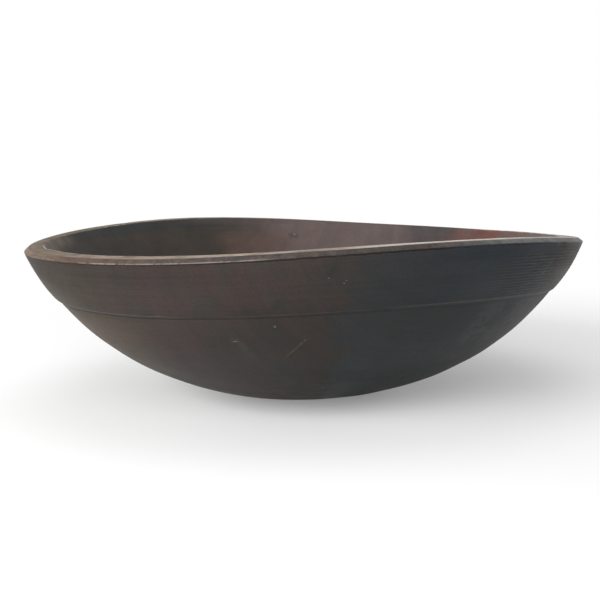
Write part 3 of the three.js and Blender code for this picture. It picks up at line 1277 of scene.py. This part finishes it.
# Soft boxes: place, width, height and watts
lamps = {
    "keyLeft": ((-1.10, -1.10, 0.55), 1.2, 1.0, 30),
    "fillFront": ((0.0, -1.6, 0.9), 1.2, 1.0, 9),
    "overhead": ((0.0, 0.0, 1.6), 1.2, 1.2, 4),
    "backLeft": ((-1.15, 1.15, 0.3), 1.2, 0.5, 12),
    "backRight": ((1.30, 0.95, 0.3), 1.2, 0.5, 11),
}

surroundings = {
    "roomLight": 0.3,
    "floorTone": 0.8,
    "bounceTone": 0.3,  # what the floor gives back to the bowl
    "floorLift": 0.22,  # added for the camera alone, so that the lit floor reads white
    "fadeFrom": 0.30,  # metres from the bowl where the floor starts to fade to white
    "fadeTo": 0.75,
}


def addCamera():
    data = bpy.data.cameras.new("camera")
    data.lens = viewpoint["lens"]
    data.sensor_width = 36
    data.shift_x = viewpoint["shiftX"]
    data.shift_y = viewpoint["shiftY"]
    data.clip_start = 0.01
    camera = bpy.data.objects.new("camera", data)
    bpy.context.collection.objects.link(camera)
    rise = math.radians(viewpoint["elevation"])
    back = Vector((0, -math.cos(rise), math.sin(rise)))
    camera.location = Vector(viewpoint["target"]) + viewpoint["distance"] * back
    tilt = Matrix.Rotation(math.pi / 2 - rise, 4, "X")
    roll = Matrix.Rotation(math.radians(viewpoint["roll"]), 4, "Z")
    camera.rotation_euler = (tilt @ roll).to_euler()
    bpy.context.scene.camera = camera


def seenDirectly(tree):
    # 1 for what the camera sees, straight, mirrored or through glass
    path = addNode(tree, "ShaderNodeLightPath").outputs
    return most(tree, path["Is Camera Ray"], path["Is Glossy Ray"], path["Is Transmission Ray"])


def addFloor():
    # a large square; near the bowl it holds the shadow, further off the camera sees plain white
    reach = 6.0
    corners = [(-reach, -reach, 0), (reach, -reach, 0), (reach, reach, 0), (-reach, reach, 0)]
    mesh = bpy.data.meshes.new("floor")
    mesh.from_pydata(corners, [], [(0, 1, 2, 3)])
    floor = bpy.data.objects.new("floor", mesh)
    bpy.context.collection.objects.link(floor)
    material = bpy.data.materials.new("paleFloor")
    material.use_nodes = True
    tree = material.node_tree
    tree.nodes.clear()
    grey = surroundings["floorTone"]
    dim = surroundings["bounceTone"]
    place = addNode(tree, "ShaderNodeTexCoord").outputs["Object"]
    mottle = fade(tree, noise(tree, place, 3.0, 2.0), 0.3, 0.7, 0.985, 1.0)
    tone = mixTone(tree, mottle, (0.0, 0.0, 0.0), (grey, grey, grey))
    matt = addNode(tree, "ShaderNodeBsdfDiffuse", None, {"Color": tone}).outputs[0]
    bounce = addNode(tree, "ShaderNodeBsdfDiffuse", None, {"Color": (dim, dim, dim, 1.0)}).outputs[0]
    lift = addNode(tree, "ShaderNodeEmission", None, {"Strength": surroundings["floorLift"]}).outputs[0]
    lifted = addNode(tree, "ShaderNodeAddShader", None, {0: matt, 1: lift}).outputs[0]
    white = addNode(tree, "ShaderNodeEmission", None, {"Strength": 1.0}).outputs[0]
    away = vectorCalc(tree, "LENGTH", place)
    faded = fade(tree, away, surroundings["fadeFrom"], surroundings["fadeTo"])
    shown = addNode(tree, "ShaderNodeMixShader", None, {0: faded, 1: lifted, 2: white}).outputs[0]
    picked = addNode(tree, "ShaderNodeMixShader", None, {0: seenDirectly(tree), 1: bounce, 2: shown})
    addNode(tree, "ShaderNodeOutputMaterial", None, {"Surface": picked.outputs[0]})
    mesh.materials.append(material)


def addWorld():
    world = bpy.data.worlds.new("room")
    bpy.context.scene.world = world
    world.use_nodes = True
    tree = world.node_tree
    tree.nodes.clear()
    room = addNode(tree, "ShaderNodeBackground", None, {"Strength": surroundings["roomLight"]}).outputs[0]
    white = addNode(tree, "ShaderNodeBackground", None, {"Strength": 1.0}).outputs[0]
    for background in (room.node, white.node):
        background.inputs["Color"].default_value = (1, 1, 1, 1)
    picked = addNode(tree, "ShaderNodeMixShader", None, {0: seenDirectly(tree), 1: room, 2: white}).outputs[0]
    addNode(tree, "ShaderNodeOutputWorld", None, {"Surface": picked})


def addLamps():
    for name, (place, width, height, watts) in lamps.items():
        data = bpy.data.lights.new(name, "AREA")
        data.shape = "RECTANGLE"
        data.size = width
        data.size_y = height
        data.energy = watts
        lamp = bpy.data.objects.new(name, data)
        bpy.context.collection.objects.link(lamp)
        lamp.location = place
        lamp.rotation_euler = (Vector((0, 0, 0.05)) - Vector(place)).to_track_quat("-Z", "Y").to_euler()
        lamp.visible_camera = False


addCamera()
addFloor()
addWorld()
addLamps()
bpy.context.scene.view_settings.view_transform = "Standard"
print("room")
